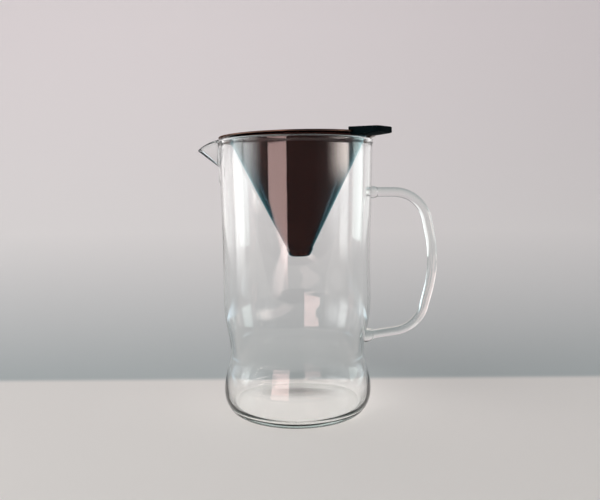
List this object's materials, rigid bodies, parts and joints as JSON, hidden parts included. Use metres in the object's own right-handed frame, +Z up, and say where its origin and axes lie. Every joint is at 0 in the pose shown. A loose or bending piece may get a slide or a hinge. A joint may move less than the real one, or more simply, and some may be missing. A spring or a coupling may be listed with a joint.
{
  "type": "glass coffee maker",
  "caption": "Tall clear glass jug with a waisted foot, pulled spout and rod handle, and a lift-out metal cone filter with a black rubber grip.",
  "frame": {"origin": "on the jug's axis, in the plane that it stands on", "axes": "+Z up along the jug's axis, +X towards the handle, -X towards the spout, -Y towards the side that the picture shows"},
  "size_m": [0.1838, 0.1192, 0.2142],
  "materials": {
    "jug_glass": "clear, polished, faint green at the edges",
    "handle_glass": "clear, polished solid rod",
    "coated_steel": "thin dark copper-brown coating over polished steel",
    "fine_mesh": "fine woven wire, dark copper-brown",
    "rim_steel": "pressed sheet, copper-brown, soft shine",
    "black_rubber": "matt black moulded rubber"
  },
  "bodies": {
    "jug": {"jug_body": "jug_glass", "jug_handle": "handle_glass"},
    "filter": {"filter_outer_cone": "coated_steel", "filter_mesh_cone": "fine_mesh", "filter_rim": "rim_steel", "filter_tip_cap": "coated_steel", "filter_tip_disc": "rim_steel", "grip_tongue": "rim_steel", "grip_sleeve": "black_rubber"}
  },
  "joints": [
    {"name": "filter_lift", "type": "slide", "parent": "jug", "child": "filter", "axis": [0, 0, 1], "range_m": [0, 0.125]}
  ]
}
